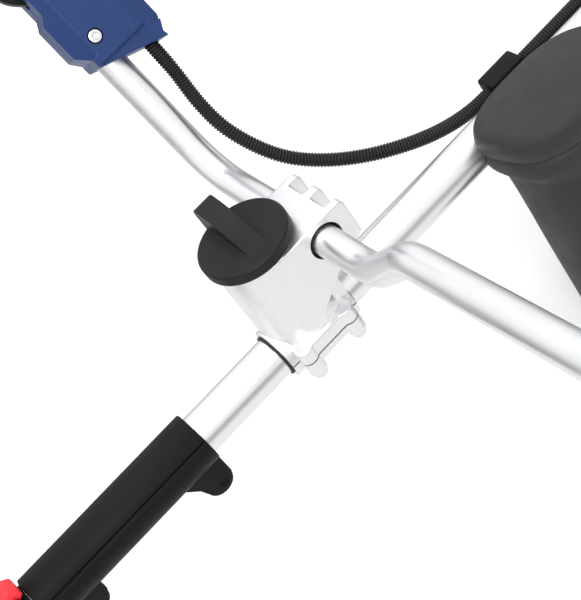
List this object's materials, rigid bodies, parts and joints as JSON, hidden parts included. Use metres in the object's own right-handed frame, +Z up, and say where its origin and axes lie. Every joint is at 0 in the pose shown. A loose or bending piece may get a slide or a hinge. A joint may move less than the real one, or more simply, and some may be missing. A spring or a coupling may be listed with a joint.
{
  "type": "string trimmer",
  "caption": "Straight-shaft string trimmer with a bicycle handlebar, split shaft, hip pad, guarded line head and rear battery motor.",
  "frame": {"origin": "bottom centre of the bounding box, on the ground the trimmer lies on", "axes": "+X forward along the shaft to the cutting head, +Y to the user's left, +Z up"},
  "size_m": [1.7272, 0.691, 0.4806],
  "materials": {
    "aluminium_tube": "satin drawn tube",
    "black_plastic": "satin",
    "blue_plastic": "semi gloss",
    "board": "coated board",
    "bright_screw": "zinc plated",
    "cast_aluminium": "fine cast surface",
    "conduit": "ribbed",
    "copper": "enamelled winding",
    "grip_rubber": "matt",
    "nylon_line": "extruded",
    "pad_plastic": "fine grained satin",
    "red_plastic": "semi gloss",
    "steel": "turned"
  },
  "bodies": {
    "frame": {"rear_shaft_tube": "aluminium_tube", "front_shaft_tube": "aluminium_tube", "shaft_bush_1": "grip_rubber", "shaft_bush_2": "grip_rubber", "coupling_sleeve": "black_plastic", "lever_collar": "black_plastic", "bracket_body": "cast_aluminium", "bracket_cap": "cast_aluminium", "bracket_liner": "grip_rubber", "bar_bush": "black_plastic", "clamp_screw_1": "bright_screw", "clamp_screw_2": "bright_screw", "clamp_screw_3": "bright_screw", "clamp_screw_4": "bright_screw", "control_conduit": "conduit", "conduit_clip": "black_plastic", "hip_pad": "pad_plastic", "hip_pad_screw": "bright_screw", "gear_case": "cast_aluminium", "gear_case_screw": "bright_screw", "input_bearing": "steel", "output_bearing": "steel", "guard": "black_plastic", "guard_screw_1": "steel", "guard_screw_2": "steel", "line_cutter": "steel", "motor_housing_left": "blue_plastic", "motor_housing_right": "blue_plastic", "motor_stator": "copper", "motor_controller": "board", "base_foot": "grip_rubber"},
    "knob": {"clamp_knob": "black_plastic", "knob_stud": "steel"},
    "handlebar_set": {"handlebar": "aluminium_tube", "left_grip": "grip_rubber", "right_grip": "grip_rubber", "control_housing_near": "blue_plastic", "control_housing_far": "blue_plastic", "housing_screw": "bright_screw", "trigger_switch": "black_plastic"},
    "trigger": {"throttle_trigger": "black_plastic"},
    "lock_off": {"lock_off_lever": "black_plastic"},
    "button": {"power_button": "red_plastic"},
    "catch": {"coupling_lever": "red_plastic"},
    "drive_line": {"rear_drive_shaft": "steel", "front_drive_shaft": "steel", "motor_rotor": "steel", "cooling_fan": "black_plastic", "input_pinion": "steel"},
    "line_head": {"output_gear": "steel", "output_spindle": "steel", "head_housing": "black_plastic", "head_cover": "black_plastic", "cutting_line_1": "nylon_line", "cutting_line_2": "nylon_line", "spool_spring": "steel"},
    "bump": {"bump_knob": "black_plastic", "line_spool": "black_plastic"},
    "battery": {"battery_pack": "black_plastic"},
    "latch": {"battery_latch": "red_plastic"}
  },
  "joints": [
    {"name": "knob_turn", "type": "hinge", "parent": "frame", "child": "knob", "pos_m": [-0.24232, -0.08537, 0.23787], "axis": [0, 0, 1], "range_deg": [0, 720]},
    {"name": "handlebar_tilt", "type": "hinge", "parent": "frame", "child": "handlebar_set", "pos_m": [-0.27562, -0.08237, 0.21787], "axis": [0, 1, 0], "range_deg": [-20, 20], "deforming": ["control_conduit"]},
    {"name": "trigger_squeeze", "type": "hinge", "parent": "handlebar_set", "child": "trigger", "pos_m": [-0.26282, -0.2618, 0.35386], "axis": [0, -0.8607, -0.509], "range_deg": [0, 5], "stiffness_Nm_per_rad": 0.4, "springref_deg": -2.86},
    {"name": "lock_off_press", "type": "hinge", "parent": "handlebar_set", "child": "lock_off", "pos_m": [-0.30012, -0.26282, 0.35559], "axis": [0, 0.8607, 0.509], "range_deg": [0, 2], "stiffness_Nm_per_rad": 0.4, "springref_deg": -2.86},
    {"name": "power_button_press", "type": "slide", "parent": "handlebar_set", "child": "button", "axis": [0, 0.8607, 0.509], "range_m": [0, 0.002], "stiffness_N_per_m": 300, "springref_m": -0.0005},
    {"name": "catch_lift", "type": "hinge", "parent": "frame", "child": "catch", "pos_m": [-0.00012, -0.08237, 0.17857], "axis": [0, -1, 0], "range_deg": [0, 25], "stiffness_Nm_per_rad": 0.1, "springref_deg": -2.86},
    {"name": "drive_spin", "type": "hinge", "parent": "frame", "child": "drive_line", "pos_m": [-0.27562, -0.08237, 0.15977], "axis": [1, 0, 0], "continuous": true},
    {"name": "head_spin", "type": "hinge", "parent": "frame", "child": "line_head", "pos_m": [0.77038, -0.08237, 0.15977], "axis": [0.5736, 0, -0.8192], "continuous": true},
    {"name": "bump_press", "type": "slide", "parent": "line_head", "child": "bump", "axis": [-0.5736, 0, 0.8192], "range_m": [0, 0.0045], "stiffness_N_per_m": 700, "springref_m": -0.002, "deforming": ["spool_spring"]},
    {"name": "battery_slide", "type": "slide", "parent": "frame", "child": "battery", "axis": [-1, 0, 0], "range_m": [0, 0.09]},
    {"name": "latch_press", "type": "slide", "parent": "battery", "child": "latch", "axis": [1, 0, 0], "range_m": [0, 0.0025], "stiffness_N_per_m": 300, "springref_m": -0.0005}
  ],
  "couplings": [
    {"joint": "head_spin", "follows": "drive_spin", "ratio": -0.76471}
  ]
}
